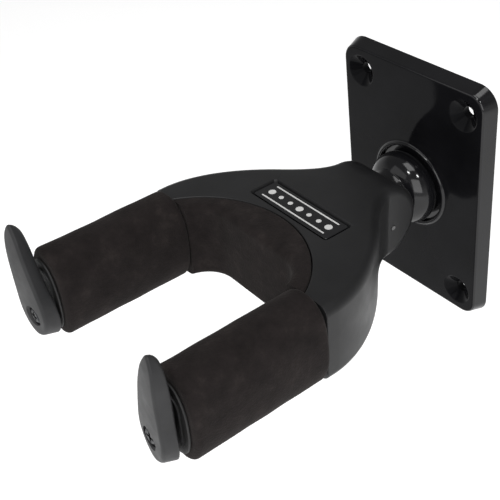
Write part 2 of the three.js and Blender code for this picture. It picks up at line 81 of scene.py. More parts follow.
# Badge, its recess and its print.
BADGE_LENGTH, BADGE_WIDTH, BADGE_AT, BADGE_DEPTH, BADGE_THICK = 36.0, 11.0, 43.7, 1.6, 1.1
BADGE_MARGIN, BADGE_CORNER, BADGE_EDGE, BADGE_LIFT = 1.2, 0.6, 0.15, 0.1
BADGE_FLOOR = HALF_THICK - BADGE_DEPTH + BADGE_LIFT
BADGE_RECESS_CORNER = 1
# The recess from its floor up: how much it grows, and how far below the yoke's top.
BADGE_WALL = ((-0.7, BADGE_DEPTH), (-0.45, BADGE_DEPTH - 0.15), (0, 0.12), (0.15, 0), (0.3, -1))
LINE_OFFSET, LINE_LENGTH, LINE_WIDTH, LINE_CORNER = 3.1, 29.0, 0.55, 0.2
DOTS, DOT_PITCH, BIG_DOT, SMALL_DOT = 7, 4.4, 1.25, 0.85
PRINT_SUNK, PRINT_PROUD = 0.05, 0.04

# Foam.
SLEEVE_HALF_W, SLEEVE_HALF_H, SLEEVE_POWER, SLEEVE_BORE_POWER = 9.85, 15.45, 2.3, 2.4
SLEEVE_START, SLEEVE_END, SLEEVE_ROUND, SLEEVE_FLAT, SLEEVE_STEPS = 70.0, 115.3, 1.6, 3.0, 60
WAVE_REACH, WAVE_SIZE, WAVE_SEED = 0.22, 9, 5
PAD_FACE, PAD_CORNER, PAD_TIP, PAD_TIP_CUT, PAD_TURN = 62.3, 10.5, 24.6, 0.2, math.radians(73)
PAD_HALF_THICK, PAD_PROUD, PAD_FILLET, PAD_BACK_FILLET = 13.4, 0.2, 2.5, 0.7

# Arm ends.
STOP_HALF_W, STOP_HALF_H, STOP_START, STOP_END, STOP_EDGE = 7.4, 12.4, 115.6, 116.4, 0.3
CAP_BACK, CAP_FRONT, CAP_SLANT, CAP_LEAN_FROM, CAP_LEAN = 117.8, 123.0, 0.11, 12.0, 1.3
CAP_TOP, CAP_EDGE, CAP_CROWN, CAP_REAR_EDGE, CAP_REAR_DEPTH = 26.9, 1.0, 0.25, 0.8, 0.15
CAP_MIDDLE = (-0.3, 4.0)
CAP_LEVELS = (0.25, 0.45, 0.7)
CAP_SHRINKS = (0.95, 0.85, 0.7, 0.5, 0.3, 0.12)
CAP_FRONT_FACE = [(2.6, 26.9), (-0.4, 23), (-2.4, 17.6), (-4.2, 11.4), (-5.9, 5.4), (-7.2, -0.4),
                  (-7, -5.4), (-4.6, -9.9), (-0.7, -11.9), (3.4, -9.6), (5.7, -4.4), (6.2, 3),
                  (6.2, 12), (6, 20.5), (4.9, 24.8)]
CAP_BACK_FACE = [(2.2, 20.6), (0.6, 17.6), (-0.6, 13.6), (-2.6, 8.8), (-4.8, 4.2), (-7.2, -0.6),
                 (-7.7, -6.4), (-5.2, -11.2), (-0.6, -13.3), (4.2, -11.3), (6.1, -6), (6.2, 2),
                 (6.2, 9.5), (5.6, 15), (4.2, 19.2)]
SCREW_INSET, SCREW_Z, RECESS_RADIUS, RECESS_DEPTH = 1.5, -4.2, 3.2, 2.3

# Radius of the small flat that closes a turned piece at its axis, and the angle in degrees at
# which a turned arc stops short of the axis.
POLE, POLE_ANGLE = 0.25, 178

# The recess in a cap's face: radius, and distance below the face.
CAP_RECESS = ((POLE, RECESS_DEPTH), (RECESS_RADIUS - 0.3, RECESS_DEPTH),
              (RECESS_RADIUS, RECESS_DEPTH - 0.3), (RECESS_RADIUS, 0.45),
              (RECESS_RADIUS + 0.5, -0.1), (RECESS_RADIUS + 0.8, -2), (POLE, -2))

# Points round a turned piece, finer where its outline is seen largest.
TURNS, FINE_TURNS, KNUCKLE_TURNS = 96, 128, 144
HOLE_TURNS, NECK_TURNS, DOT_TURNS, PIN_TURNS = 64, 48, 40, 32

# Edges that turn by more than this, in degrees, stay crisp.
SHARP, CAP_SHARP, FOAM_SHARP = 35, 40, 60
# A face whose normal's Y is below this belongs to one of the plate's rims.
RIM_NORMAL = 0.9
# Points nearer than this are one point, in metres, and in millimetres from the middle plane.
WELD, ON_MIDDLE = 1e-7, 1e-6

# ---- dimensions of the studio, in metres and watts -----------------------------------------
FLOOR_SIZE, FLOOR_HEIGHT = 8, -0.16
LIGHT_AIM = (0, -0.06, 0)
# Name, place, width of the square lamp, power.
LIGHTS = (("key", (0.8, -0.55, 0.38), 0.7, 4.2),
          ("front", (-0.25, -0.95, 0.45), 0.9, 2.0),
          ("top", (0.1, -0.1, 1.3), 0.7, 5.5),
          ("glint_0", (0.25, -0.55, 0.95), 0.12, 1.9),
          ("glint_1", (0.65, -0.05, 0.8), 0.12, 1.9))
# Grey of the surroundings, by height from the horizon to overhead.
SKY = ((0, 0.72), (0.12, 0.66), (0.42, 0.26), (1, 0.22))
LENS, SENSOR, CLIP_START = 65.34, 36, 0.01
CAMERA_AT = (0.178021, -0.189589, 0.184197)
CAMERA_RIGHT = (0.6187, 0.7769, -0.1168)
CAMERA_UP = (-0.4403, 0.4660, 0.7675)
CAMERA_BACK = (0.6507, -0.4234, 0.6303)

YOKE_PLACE = Matrix.Translation((0, -PIVOT_DEPTH * MM, 0)) @ Matrix.Rotation(-RAKE, 4, "X")
# Turns a piece's Y axis across the yoke, or up out of it.
ACROSS = Matrix.Rotation(math.pi / 2, 4, "Z")
UPRIGHT = Matrix.Rotation(math.pi / 2, 4, "X")


# ---- mesh helpers --------------------------------------------------------------------------
def make_object(name, verts, faces, place=None):
    """A mesh object from points in millimetres, with its faces turned outwards."""
    mesh = bpy.data.meshes.new(name)
    mesh.from_pydata([Vector(v) * MM for v in verts], [], faces)
    work = bmesh.new()
    work.from_mesh(mesh)
    bmesh.ops.remove_doubles(work, verts=work.verts, dist=WELD)
    bmesh.ops.triangulate(work, faces=[f for f in work.faces if len(f.verts) > 4])
    bmesh.ops.recalc_face_normals(work, faces=work.faces)
    work.to_mesh(mesh)
    work.free()
    obj = bpy.data.objects.new(name, mesh)
    bpy.context.scene.collection.objects.link(obj)
    obj.matrix_world = place or Matrix.Identity(4)
    return obj


def loft(name, rings, place=None, closed=False):
    """A skin through rings of equally many points; closed joins the last ring to the first."""
    count = len(rings[0])
    verts = [p for ring in rings for p in ring]
    faces = []
    for level in range(len(rings) if closed else len(rings) - 1):
        low, high = level * count, (level + 1) % len(rings) * count
        for i in range(count):
            j = (i + 1) % count
            faces.append((low + i, low + j, high + j, high + i))
    if not closed:
        faces.append(tuple(range(count)))
        faces.append(tuple(range(len(verts) - count, len(verts))))
    return make_object(name, verts, faces, place)


def lathe(name, profile, turns=TURNS, place=None, closed=False):
    """A piece turned about Y from (radius, y) pairs; closed joins the last pair to the first."""
    angles = [2 * math.pi * i / turns for i in range(turns)]
    rings = [[(r * math.cos(a), y, r * math.sin(a)) for a in angles] for r, y in profile]
    return loft(name, rings, place, closed)


def apply_modifiers(obj):
    """Bakes the modifiers of an object into its mesh."""
    bpy.context.view_layer.update()
    graph = bpy.context.evaluated_depsgraph_get()
    baked = bpy.data.meshes.new_from_object(obj.evaluated_get(graph))
    obj.modifiers.clear()
    obj.data = baked


def combine(operation, obj, others):
    """Applies a boolean operation between an object and others, and removes the others."""
    for other in others:
        modifier = obj.modifiers.new("combine", "BOOLEAN")
        modifier.operation = operation
        modifier.solver = "EXACT"
        modifier.object = other
    apply_modifiers(obj)
    for other in others:
        bpy.data.objects.remove(other)
    return obj


def carve(obj, *cutters):
    """Cuts the cutters out of an object."""
    return combine("DIFFERENCE", obj, cutters)


def unite(obj, *others):
    """Joins other objects to an object as one closed skin."""
    return combine("UNION", obj, others)


def merge(first, *others):
    """Joins other objects' meshes into the first object, as they stand."""
    for other in others:
        other.data.transform(first.matrix_world.inverted() @ other.matrix_world)
        work = bmesh.new()
        work.from_mesh(first.data)
        work.from_mesh(other.data)
        work.to_mesh(first.data)
        work.free()
        bpy.data.objects.remove(other)
    return first


def finish_piece(obj, body, paint, replaced=(), sharp=SHARP):
    """Smooth shading with crisp edges and flat faces, a material, and the piece's body."""
    obj.data.shade_smooth()
    obj.data.set_sharp_from_angle(angle=math.radians(sharp))
    weights = obj.modifiers.new("normals", "WEIGHTED_NORMAL")
    weights.keep_sharp = True
    apply_modifiers(obj)
    obj.data.materials.clear()
    obj.data.materials.append(paint)
    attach(obj, body)
    if replaced:
        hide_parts(*replaced)
    return obj


# ---- outlines ------------------------------------------------------------------------------
def rounded_rectangle(width, height, radius, steps=14):
    """Points of a rectangle with round corners, with so many steps at each corner."""
    points = []
    for sx, sz, start in ((1, 1, 0), (-1, 1, 90), (-1, -1, 180), (1, -1, 270)):
        for i in range(steps + 1):
            a = math.radians(start + 90 * i / steps)
            points.append((sx * (width / 2 - radius) + radius * math.cos(a),
                           sz * (height / 2 - radius) + radius * math.sin(a)))
    return points


def superellipse(half_w, half_h, power, steps=120):
    """Points of an oval that is squarer the higher its power; 2 is an ellipse."""
    points = []
    for i in range(steps):
        a = 2 * math.pi * i / steps
        c, s = math.cos(a), math.sin(a)
        points.append((half_w * math.copysign(abs(c) ** (2 / power), c),
                       half_h * math.copysign(abs(s) ** (2 / power), s)))
    return points


def arc(radius, centre, start, end, steps):
    """(radius, y) pairs along an arc about (0, centre); 0 degrees points along +Y."""
    pairs = []
    for i in range(steps + 1):
        a = math.radians(start + (end - start) * i / steps)
        pairs.append((radius * math.sin(a), centre + radius * math.cos(a)))
    return pairs


def quarter(steps):
    """Angles from 0 to a quarter turn, as (sine, cosine) pairs."""
    return [(math.sin(math.pi / 2 * i / steps), math.cos(math.pi / 2 * i / steps))
            for i in range(steps + 1)]


def unit(x, y):
    """A direction at length 1."""
    size = math.hypot(x, y)
    return (x / size, y / size)


def bezier(a, b, c, d, steps):
    """Points on a cubic curve with their directions, without the first."""
    out = []
    for i in range(1, steps + 1):
        t = i / steps
        u = 1 - t
        at = [u ** 3 * a[k] + 3 * u * u * t * b[k] + 3 * u * t * t * c[k] + t ** 3 * d[k]
              for k in (0, 1)]
        along = [3 * u * u * (b[k] - a[k]) + 6 * u * t * (c[k] - b[k]) + 3 * t * t * (d[k] - c[k])
                 for k in (0, 1)]
        out.append((at, unit(*along)))
    return out


def catmull_rom(before, start, end, after, t):
    """A coordinate and its slope at t on the curve from start to end."""
    a = -before + 3 * start - 3 * end + after
    b = 2 * before - 5 * start + 4 * end - after
    c = end - before
    return 0.5 * (a * t ** 3 + b * t * t + c * t + 2 * start), 0.5 * (3 * a * t * t + 2 * b * t + c)


def smooth_closed(points, steps):
    """Points with their directions on a closed smooth curve through the given points."""
    out = []
    count = len(points)
    for i in range(count):
        near = [points[(i + k - 1) % count] for k in range(4)]
        for j in range(steps):
            (x, dx), (z, dz) = [catmull_rom(*(p[k] for p in near), j / steps) for k in (0, 1)]
            out.append(((x, z), unit(dx, dz)))
    return out


# ---- materials -----------------------------------------------------------------------------
def set_stops(colour_ramp, stops):
    """Gives a ramp its stops, each a position with a grey level or a colour."""
    points = colour_ramp.elements
    for position, _ in stops[1:-1]:
        points.new(position)
    for point, (position, value) in zip(points, stops):
        point.position = position
        point.color = (*value, 1) if isinstance(value, tuple) else (value, value, value, 1)


class Paint:
    """A node material around one Principled shader."""

    def __init__(self, name, colour, roughness, **sockets):
        self.material = bpy.data.materials.new(name)
        self.material.use_nodes = True
        self.tree = self.material.node_tree
        self.shader = self.tree.nodes["Principled BSDF"]
        self.set("Base Color", (*colour, 1))
        self.set("Roughness", roughness)
        for socket, value in sockets.items():
            self.set(socket.replace("_", " "), value)
        self.where = self.tree.nodes.new("ShaderNodeTexCoord").outputs["Object"]
        self.height = None

    def set(self, socket, value):
        self.shader.inputs[socket].default_value = value

    def link(self, output, socket):
        self.tree.links.new(output, self.shader.inputs[socket])

    def noise(self, scale, detail=3.0, rough=0.55):
        node = self.tree.nodes.new("ShaderNodeTexNoise")
        node.inputs["Scale"].default_value = scale
        node.inputs["Detail"].default_value = detail
        node.inputs["Roughness"].default_value = rough
        self.tree.links.new(self.where, node.inputs["Vector"])
        return node.outputs["Fac"]

    def cells(self, scale):
        node = self.tree.nodes.new("ShaderNodeTexVoronoi")
        node.inputs["Scale"].default_value = scale
        self.tree.links.new(self.where, node.inputs["Vector"])
        return node.outputs["Distance"]

    def bump(self, factor, distance, strength):
        """Adds a layer of relief, distance in millimetres."""
        node = self.tree.nodes.new("ShaderNodeBump")
        node.inputs["Strength"].default_value = strength
        node.inputs["Distance"].default_value = distance * MM
        self.tree.links.new(factor, node.inputs["Height"])
        if self.height:
            self.tree.links.new(self.height, node.inputs["Normal"])
        self.height = node.outputs["Normal"]
        self.link(self.height, "Normal")

    def vary(self, socket, factor, *stops):
        """Drives a shader socket by a factor, through (position, value or colour) stops."""
        node = self.tree.nodes.new("ShaderNodeValToRGB")
        set_stops(node.color_ramp, stops)
        self.tree.links.new(factor, node.inputs["Fac"])
        self.link(node.outputs["Color"], socket)


def darker(colour, share):
    return tuple(share * c for c in colour)


def gloss_black(name, specular):
    """Glossy coat with faint clouding."""
    paint = Paint(name, (0.005, 0.005, 0.006), 0.1, Specular_IOR_Level=specular)
    paint.vary("Base Color", paint.noise(60), (0.3, (0.0035, 0.0035, 0.004)),
               (0.7, (0.0065, 0.0065, 0.0075)))
    paint.vary("Roughness", paint.noise(45, 6), (0.35, 0.06), (0.75, 0.14))
    paint.bump(paint.noise(900, 2), 0.01, 0.35)
    return paint.material


def satin_black():
    """Fine-grained moulded plastic, very slightly wavy."""
    paint = Paint("satin_black_moulding", (0.011, 0.011, 0.012), 0.42, Specular_IOR_Level=0.3)
    paint.vary("Base Color", paint.noise(50, 5), (0.3, (0.0085, 0.0085, 0.009)),
               (0.75, (0.0145, 0.0145, 0.015)))
    paint.vary("Roughness", paint.noise(120, 4), (0.3, 0.38), (0.7, 0.48))
    paint.bump(paint.noise(2600, 3), 0.035, 0.5)
    paint.bump(paint.noise(90, 2), 0.12, 0.35)
    return paint.material


def foam():
    """Open-celled foam with brownish clouding."""
    paint = Paint("black_foam", (0.018, 0.015, 0.015), 0.95, Specular_IOR_Level=0.08,
                  Sheen_Weight=0.05, Sheen_Roughness=0.5, Sheen_Tint=(0.8, 0.75, 0.72, 1))
    paint.vary("Base Color", paint.noise(150, 8, 0.7), (0.3, (0.009, 0.0074, 0.0073)),
               (0.55, (0.0152, 0.0124, 0.0121)), (0.8, (0.03, 0.0245, 0.023)))
    paint.bump(paint.cells(1500), 0.12, 0.7)
    paint.bump(paint.noise(450, 6, 0.7), 0.2, 0.6)
    return paint.material


def cap_plastic():
    """Greyer, rubbed plastic."""
    paint = Paint("cap_grey_plastic", (0.02, 0.02, 0.021), 0.45, Specular_IOR_Level=0.28)
    paint.vary("Base Color", paint.noise(80, 6), (0.3, (0.0145, 0.0145, 0.0155)),
               (0.75, (0.025, 0.025, 0.026)))
    paint.vary("Roughness", paint.noise(200, 4), (0.3, 0.42), (0.7, 0.54))
    paint.bump(paint.noise(3200, 2), 0.03, 0.5)
    return paint.material


def metal(name, colour, smoothest, roughest):
    paint = Paint(name, colour, smoothest, Metallic=1.0)
    paint.vary("Roughness", paint.noise(700, 4, 0.6), (0.3, smoothest), (0.7, roughest))
    paint.vary("Base Color", paint.noise(160, 5), (0.3, darker(colour, 0.82)), (0.75, colour))
    paint.bump(paint.noise(1800, 3, 0.6), 0.01, 0.4)
    return paint.material


def plastic(name, colour, roughness):
    paint = Paint(name, colour, roughness)
    paint.vary("Base Color", paint.noise(140, 5), (0.3, darker(colour, 0.88)), (0.75, colour))
    paint.vary("Roughness", paint.noise(260, 4), (0.3, roughness - 0.06), (0.7, roughness + 0.06))
    paint.bump(paint.noise(1600, 3), 0.015, 0.4)
    return paint.material


def floor_paint():
    paint = Paint("pale_floor", (0.85, 0.85, 0.85), 0.7, Specular_IOR_Level=0.1,
                  Emission_Color=(1, 1, 1, 1), Emission_Strength=0.45)
    paint.vary("Base Color", paint.noise(3, 4), (0.3, 0.845), (0.7, 0.855))
    return paint.material


PLATE_GLOSS = gloss_black("plate_gloss", 0.055)
DOME_GLOSS = gloss_black("dome_gloss", 0.4)
SATIN = satin_black()
FOAM = foam()
CAP = cap_plastic()
STEEL = metal("bright_steel", (0.46, 0.47, 0.49), 0.22, 0.38)
DARK_STEEL = metal("dark_steel", (0.05, 0.052, 0.055), 0.38, 0.55)
NYLON = plastic("pale_nylon", (0.66, 0.64, 0.58), 0.5)
PIN_STEEL = metal("dull_pin_steel", (0.2, 0.2, 0.2), 0.5, 0.65)
BLACK_PLASTIC = plastic("black_plastic", (0.005, 0.005, 0.005), 0.6)
BADGE = plastic("badge_black", (0.006, 0.006, 0.007), 0.22)
PRINT = plastic("badge_print", (0.62, 0.62, 0.61), 0.5)


# ---- wall plate and dome -------------------------------------------------------------------
def plate_outline(inset, y):
    points = rounded_rectangle(PLATE_WIDTH - 2 * inset, PLATE_HEIGHT - 2 * inset,
                               PLATE_CORNER - inset)
    return [(x, y, z) for x, z in points]


def screw_hole(x, z):
    """A countersunk hole with a softly rounded mouth."""
    slope = (HEAD_RADIUS - HOLE_RADIUS) / HEAD_DEPTH
    profile = [(HOLE_RADIUS, CUT_BEHIND), (HOLE_RADIUS, HEAD_DEPTH - PLATE_THICK),
               (HEAD_RADIUS - HEAD_EDGE * slope, HEAD_EDGE - PLATE_THICK)]
    profile += [(HEAD_RADIUS + wider, under - PLATE_THICK) for wider, under in HOLE_MOUTH]
    return lathe("screw_hole", profile, HOLE_TURNS, Matrix.Translation((x * MM, 0, z * MM)))


def plate_ring():
    """The raised ring, with a round crest and a flare down to the plate's face."""
    crest, face = -RING_CREST, -PLATE_THICK
    profile = [(RING_INNER, -GROOVE_FLOOR), (RING_INNER, crest + RING_FILLET)]
    profile += [(RING_INNER + RING_FILLET * (1 - c), crest + RING_FILLET * (1 - s))
                for s, c in quarter(5)[1:]]
    profile += [(RING_INNER + RING_FILLET + RING_FILLET * s, crest + RING_CROWN * (1 - c))
                for s, c in quarter(4)[1:]]
    profile += [(RING_OUTER - RING_FLARE + RING_FLARE * (1 - c), face - RING_FILLET * (1 - s))
                for s, c in quarter(5)[1:]]
    profile.append((RING_OUTER, -GROOVE_FLOOR))
    return lathe("plate_ring", profile, FINE_TURNS, closed=True)


def wall_plate():
    rings = [plate_outline(PLATE_BACK_EDGE * (1 - s), -PLATE_BACK_EDGE * (1 - c))
             for s, c in quarter(4)]
    rings += [plate_outline(PLATE_DRAFT + PLATE_EDGE * (1 - c), PLATE_EDGE * (1 - s) - PLATE_THICK)
              for s, c in quarter(7)]
    plate = loft("wall_plate_shape", rings)
    bore = SKIRT_RADIUS + GAP
    cutters = [lathe("groove", [(RING_INNER, -GROOVE_FLOOR), (RING_INNER, -CUT_PAST)]),
               lathe("bore", [(bore, CUT_BEHIND), (bore, -CUT_PAST)]),
               lathe("pocket", [(CIRCLIP_POCKET, CUT_BEHIND), (CIRCLIP_POCKET, -CIRCLIP_FRONT - GAP)])]
    cutters += [screw_hole(x * HOLE_X, z * HOLE_Z) for x in (-1, 1) for z in (-1, 1)]
    return merge(carve(plate, *cutters), plate_ring())


def brighten_rims(plate):
    """Gives the plate's edge band and ring the dome's stronger gloss, but not its screw holes."""
    near_hole = HEAD_RADIUS + 0.5
    plate.data.materials.append(DOME_GLOSS)
    for face in plate.data.polygons:
        from_hole = math.hypot(abs(face.center.x) / MM - HOLE_X, abs(face.center.z) / MM - HOLE_Z)
        on_rim = abs(face.normal.y) < RIM_NORMAL and from_hole >= near_hole
        face.material_index = 1 if on_rim else 0


def neck_slot():
    """Rods that together clear the stud's neck as the yoke tips from level to its highest."""
    r = NECK_RADIUS + GAP
    profile = [(POLE, -NECK_TO), (r, -NECK_TO), (r, -NECK_FROM), (POLE, -NECK_FROM)]
    pivot = Matrix.Translation((0, -PIVOT_DEPTH * MM, 0))
    tips = [Matrix.Rotation(-TIP_UP * i / TIP_STEPS, 4, "X") for i in range(TIP_STEPS + 1)]
    return [lathe("neck_room", profile, NECK_TURNS, pivot @ tip) for tip in tips]


def dome_side():
    """(radius, y) pairs up the oblate dome, to just past where its round front takes over."""
    pairs = []
    y, r = -FLANGE_FRONT, DOME_RADIUS
    while y > -PIVOT_DEPTH or math.hypot(r, y + PIVOT_DEPTH) >= DOME_FRONT:
        r = DOME_RADIUS * math.sqrt(1 - ((y + DOME_CENTRE) / DOME_HALF_LENGTH) ** 2)
        pairs.append((r, y))
        y -= DOME_STEP
    return pairs


def dome():
    """The hollow housing: a skirt with a clip groove, a flange, and an oblate dome."""
    groove_back, groove_front = -CIRCLIP_BACK + CLIP_ROOM, -CIRCLIP_FRONT - CLIP_ROOM
    groove_radius = CIRCLIP_INNER - 2 * CLIP_ROOM
    *side, (r, y) = dome_side()
    meets = math.degrees(math.atan2(r, y + PIVOT_DEPTH))
    profile = [(POLE, -SKIRT_BACK), (SKIRT_RADIUS, -SKIRT_BACK), (SKIRT_RADIUS, groove_back),
               (groove_radius, groove_back), (groove_radius, groove_front),
               (SKIRT_RADIUS, groove_front), (SKIRT_RADIUS, -FLANGE_BACK),
               (FLANGE_RADIUS, -FLANGE_BACK), (FLANGE_RADIUS, -FLANGE_FRONT)]
    profile += side + arc(DOME_FRONT, -PIVOT_DEPTH, meets, POLE_ANGLE, 20)
    hollow = [(POLE, CUT_BEHIND), (PLUG_BORE, CUT_BEHIND), (PLUG_BORE, -PLUG_FLOOR),
              (BORE, -PLUG_FLOOR), (BORE, -PIVOT_DEPTH)]
    hollow += arc(SEAT_RADIUS, -PIVOT_DEPTH, 90, POLE_ANGLE, 20)
    return carve(lathe("dome_shape", profile, FINE_TURNS), lathe("hollow", hollow), *neck_slot())


# ---- yoke ----------------------------------------------------------------------------------
def body_outline():
    """Right half of the yoke body from above: (x, distance out), the way out, and the rounding
    of the top and bottom edges there."""
    side = [((KNUCKLE_HALF, KNUCKLE_AT), (1, 0), FILLET)]
    side += [(at, (along[1], -along[0]), FILLET)
             for at, along in bezier(*NECK_CURVE, 16) + bezier(*FLANK_CURVE, 30)]
    side.append(((BODY_HALF, BODY_END - BODY_CORNER), (1, 0), FILLET))
    side.append(((BODY_HALF - BODY_CORNER, BODY_END), (1, 0), CORNER_FILLET))
    steps = 32
    widest = math.acos((CROTCH_CENTRE - BODY_END) / CROTCH_RADIUS)
    for i in range(steps + 1):
        a = widest * (1 - i / steps)
        at = (CROTCH_RADIUS * math.sin(a), CROTCH_CENTRE - CROTCH_RADIUS * math.cos(a))
        side.append((at, (-math.sin(a), math.cos(a)), CROTCH_FILLET))
    return side


def slab_ring(side, z, s, c):
    """A closed outline from its right half, at the height z before its edge rounds over by the
    angle whose sine and cosine are s and c."""
    right = []
    for at, out, fillet in side:
        inset = fillet * (1 - c)
        height = math.copysign(abs(z) - fillet * (1 - s), z)
        right.append((at[0] - inset * out[0], -(at[1] - inset * out[1]), height))
    return right + [(-x, y, z) for x, y, z in reversed(right) if abs(x) > ON_MIDDLE]


def slab(name, side, half_thick):
    """A mirrored slab with rounded top and bottom edges, in the yoke's frame."""
    turns = quarter(8)
    rings = [slab_ring(side, -half_thick, s, c) for s, c in reversed(turns)]
    rings += [slab_ring(side, half_thick, s, c) for s, c in turns]
    return loft(name, rings, YOKE_PLACE)


def knuckle():
    """The round nose, turned about an axis across the yoke."""
    half = [(HALF_THICK - FILLET * (1 - c), KNUCKLE_HALF - FILLET * (1 - s)) for s, c in quarter(8)]
    half.append((POLE, KNUCKLE_HALF))
    profile = [(r, -x) for r, x in reversed(half)] + half
    place = YOKE_PLACE @ Matrix.Translation((0, -KNUCKLE_AT * MM, 0)) @ ACROSS
    return lathe("knuckle", profile, KNUCKLE_TURNS, place)


def ball_dish():
    """The round hollow in the nose that clears the dome."""
    profile = arc(SOCKET_RADIUS, 0, 180 - POLE_ANGLE, POLE_ANGLE, 40)
    return lathe("dish", profile, place=YOKE_PLACE)


def stud_bore():
    r, end = SHANK_RADIUS + GAP, -SHANK_END - GAP
    return lathe("stud_bore", [(POLE, 0), (r, 0), (r, end), (POLE, end)], HOLE_TURNS, YOKE_PLACE)


def cross_rod(name, radius, half_length):
    """A rod across the knuckle: the pin, or the cutter for its hole."""
    place = YOKE_PLACE @ Matrix.Translation((0, -PIN_OUT * MM, -PIN_DROP * MM)) @ ACROSS
    profile = [(POLE, -half_length), (radius, -half_length),
               (radius, half_length), (POLE, half_length)]
    return lathe(name, profile, PIN_TURNS, place)


def arm(side):
    points = rounded_rectangle(2 * ARM_HALF_W, 2 * ARM_HALF_H, ARM_CORNER, 8)
    rings = [[(x + side * ARM_X, -out, z) for x, z in points] for out in (ARM_ROOT, ARM_END)]
    return loft("arm", rings, YOKE_PLACE)


def yoke_frame():
    body = carve(slab("yoke_frame_shape", body_outline(), HALF_THICK), badge_recess(), stud_bore())
    pin_hole = cross_rod("pin_hole", PIN_RADIUS + GAP / 2, PIN_HOLE_HALF)
    nose = carve(knuckle(), ball_dish(), stud_bore(), pin_hole)
    return unite(body, nose, arm(-1), arm(1))


# ---- badge ---------------------------------------------------------------------------------
def badge_ring(length, width, radius, z, offset=0, steps=6):
    """A rounded rectangle level with the yoke's top, at a height z, moved by an offset along it."""
    points = rounded_rectangle(length, width, radius, steps)
    return [(x, y - BADGE_AT + offset, z) for x, y in points]


def badge_recess():
    """A rectangular recess with sloping walls."""
    rings = [badge_ring(BADGE_LENGTH + 2 * grow, BADGE_WIDTH + 2 * grow, BADGE_RECESS_CORNER,
                        HALF_THICK - below)
             for grow, below in BADGE_WALL]
    return loft("badge_recess", rings, YOKE_PLACE)


def badge():
    length = BADGE_LENGTH - 2 * GAP - BADGE_MARGIN
    width = BADGE_WIDTH - 2 * GAP - BADGE_MARGIN
    top = BADGE_FLOOR + BADGE_THICK
    rings = [badge_ring(length - 2 * inset, width - 2 * inset, BADGE_CORNER, z)
             for inset, z in ((0, BADGE_FLOOR), (0, top - BADGE_EDGE), (BADGE_EDGE, top))]
    return loft("badge_inlay", rings, YOKE_PLACE)


def badge_line(offset, low, high):
    rings = [badge_ring(LINE_LENGTH, LINE_WIDTH, LINE_CORNER, z, offset, 3) for z in (low, high)]
    return loft("badge_line", rings, YOKE_PLACE)


def badge_dot(x, radius, z):
    place = YOKE_PLACE @ Matrix.Translation((x * MM, -BADGE_AT * MM, z * MM)) @ UPRIGHT
    profile = [(POLE, -PRINT_SUNK), (radius, -PRINT_SUNK), (radius, PRINT_PROUD), (POLE, PRINT_PROUD)]
    return lathe("badge_dot", profile, DOT_TURNS, place)


def badge_print():
    """Printed pattern: two thin lines with a row of dots between them, every third one big."""
    top = BADGE_FLOOR + BADGE_THICK
    lines = [badge_line(offset, top - PRINT_SUNK, top + PRINT_PROUD)
             for offset in (-LINE_OFFSET, LINE_OFFSET)]
    dots = [badge_dot((i - DOTS // 2) * DOT_PITCH, SMALL_DOT if i % 3 else BIG_DOT, top)
            for i in range(DOTS)]
    return merge(*lines, *dots)


# ---- foam ----------------------------------------------------------------------------------
def arm_ring(side, half_w, half_h, power, out):
    """An oval round an arm, at a distance out from the pivot."""
    return [(x + side * ARM_X, -out, z) for x, z in superellipse(half_w, half_h, power)]


def sleeve_ring(side, inset, out):
    return arm_ring(side, SLEEVE_HALF_W - inset, SLEEVE_HALF_H - inset, SLEEVE_POWER, out)


def bore_ring(side, out):
    return arm_ring(side, ARM_HALF_W + GAP, ARM_HALF_H + GAP, SLEEVE_BORE_POWER, out)


def soften(obj, seed):
    """Pushes a foam piece's surface in and out a little, so that it isn't machine-flat."""
    normals = [v.normal.copy() for v in obj.data.vertices]
    for vertex, normal in zip(obj.data.vertices, normals):
        at = vertex.co / (WAVE_SIZE * MM) + Vector((seed, 0, 0))
        vertex.co += normal * noise.noise(at) * WAVE_REACH * MM
    return obj


def foam_sleeve(name, side):
    """A thick foam tube with rounded rims."""
    rings = [sleeve_ring(side, SLEEVE_ROUND * (1 - s), SLEEVE_START + SLEEVE_ROUND * (1 - c))
             for s, c in quarter(6)]
    span = SLEEVE_END - SLEEVE_START - 2 * SLEEVE_ROUND
    rings += [sleeve_ring(side, 0, SLEEVE_START + SLEEVE_ROUND + span * i / SLEEVE_STEPS)
              for i in range(1, SLEEVE_STEPS)]
    rings += [sleeve_ring(side, SLEEVE_ROUND * (1 - c), SLEEVE_END - SLEEVE_ROUND * (1 - s))
              for s, c in quarter(6)]
    rings += [sleeve_ring(side, SLEEVE_FLAT, SLEEVE_END), bore_ring(side, SLEEVE_END),
              bore_ring(side, SLEEVE_START), sleeve_ring(side, SLEEVE_FLAT, SLEEVE_START)]
    return soften(loft(name, rings, YOKE_PLACE, closed=True), side * WAVE_SEED)


def pad_outline():
    """Right half of the pad from above, as body_outline: its face, corner, tip and back."""
    face_steps, corner_steps, back_steps = 12, 18, 48
    corner_x = PAD_TIP - PAD_CORNER
    side = [((corner_x * i / face_steps, PAD_FACE), (0, 1), PAD_FILLET)
            for i in range(face_steps + 1)]
    for i in range(1, corner_steps + 1):
        a = PAD_TURN * i / corner_steps
        at = (corner_x + PAD_CORNER * math.sin(a), PAD_FACE + PAD_CORNER * (1 - math.cos(a)))
        side.append((at, (-math.sin(a), math.cos(a)), PAD_FILLET))
    side.append(((PAD_TIP - PAD_TIP_CUT, BODY_END), (-1, 0), PAD_FILLET))
    radius = CROTCH_RADIUS - GAP
    widest = math.acos((CROTCH_CENTRE - BODY_END) / radius)
    for i in range(back_steps + 1):
        a = widest * (1 - i / back_steps)
        at = (radius * math.sin(a), CROTCH_CENTRE - radius * math.cos(a))
        side.append((at, (math.sin(a), -math.cos(a)), PAD_BACK_FILLET))
    return side


def crotch_pad():
    return slab("crotch_foam", pad_outline(), PAD_HALF_THICK + PAD_PROUD)


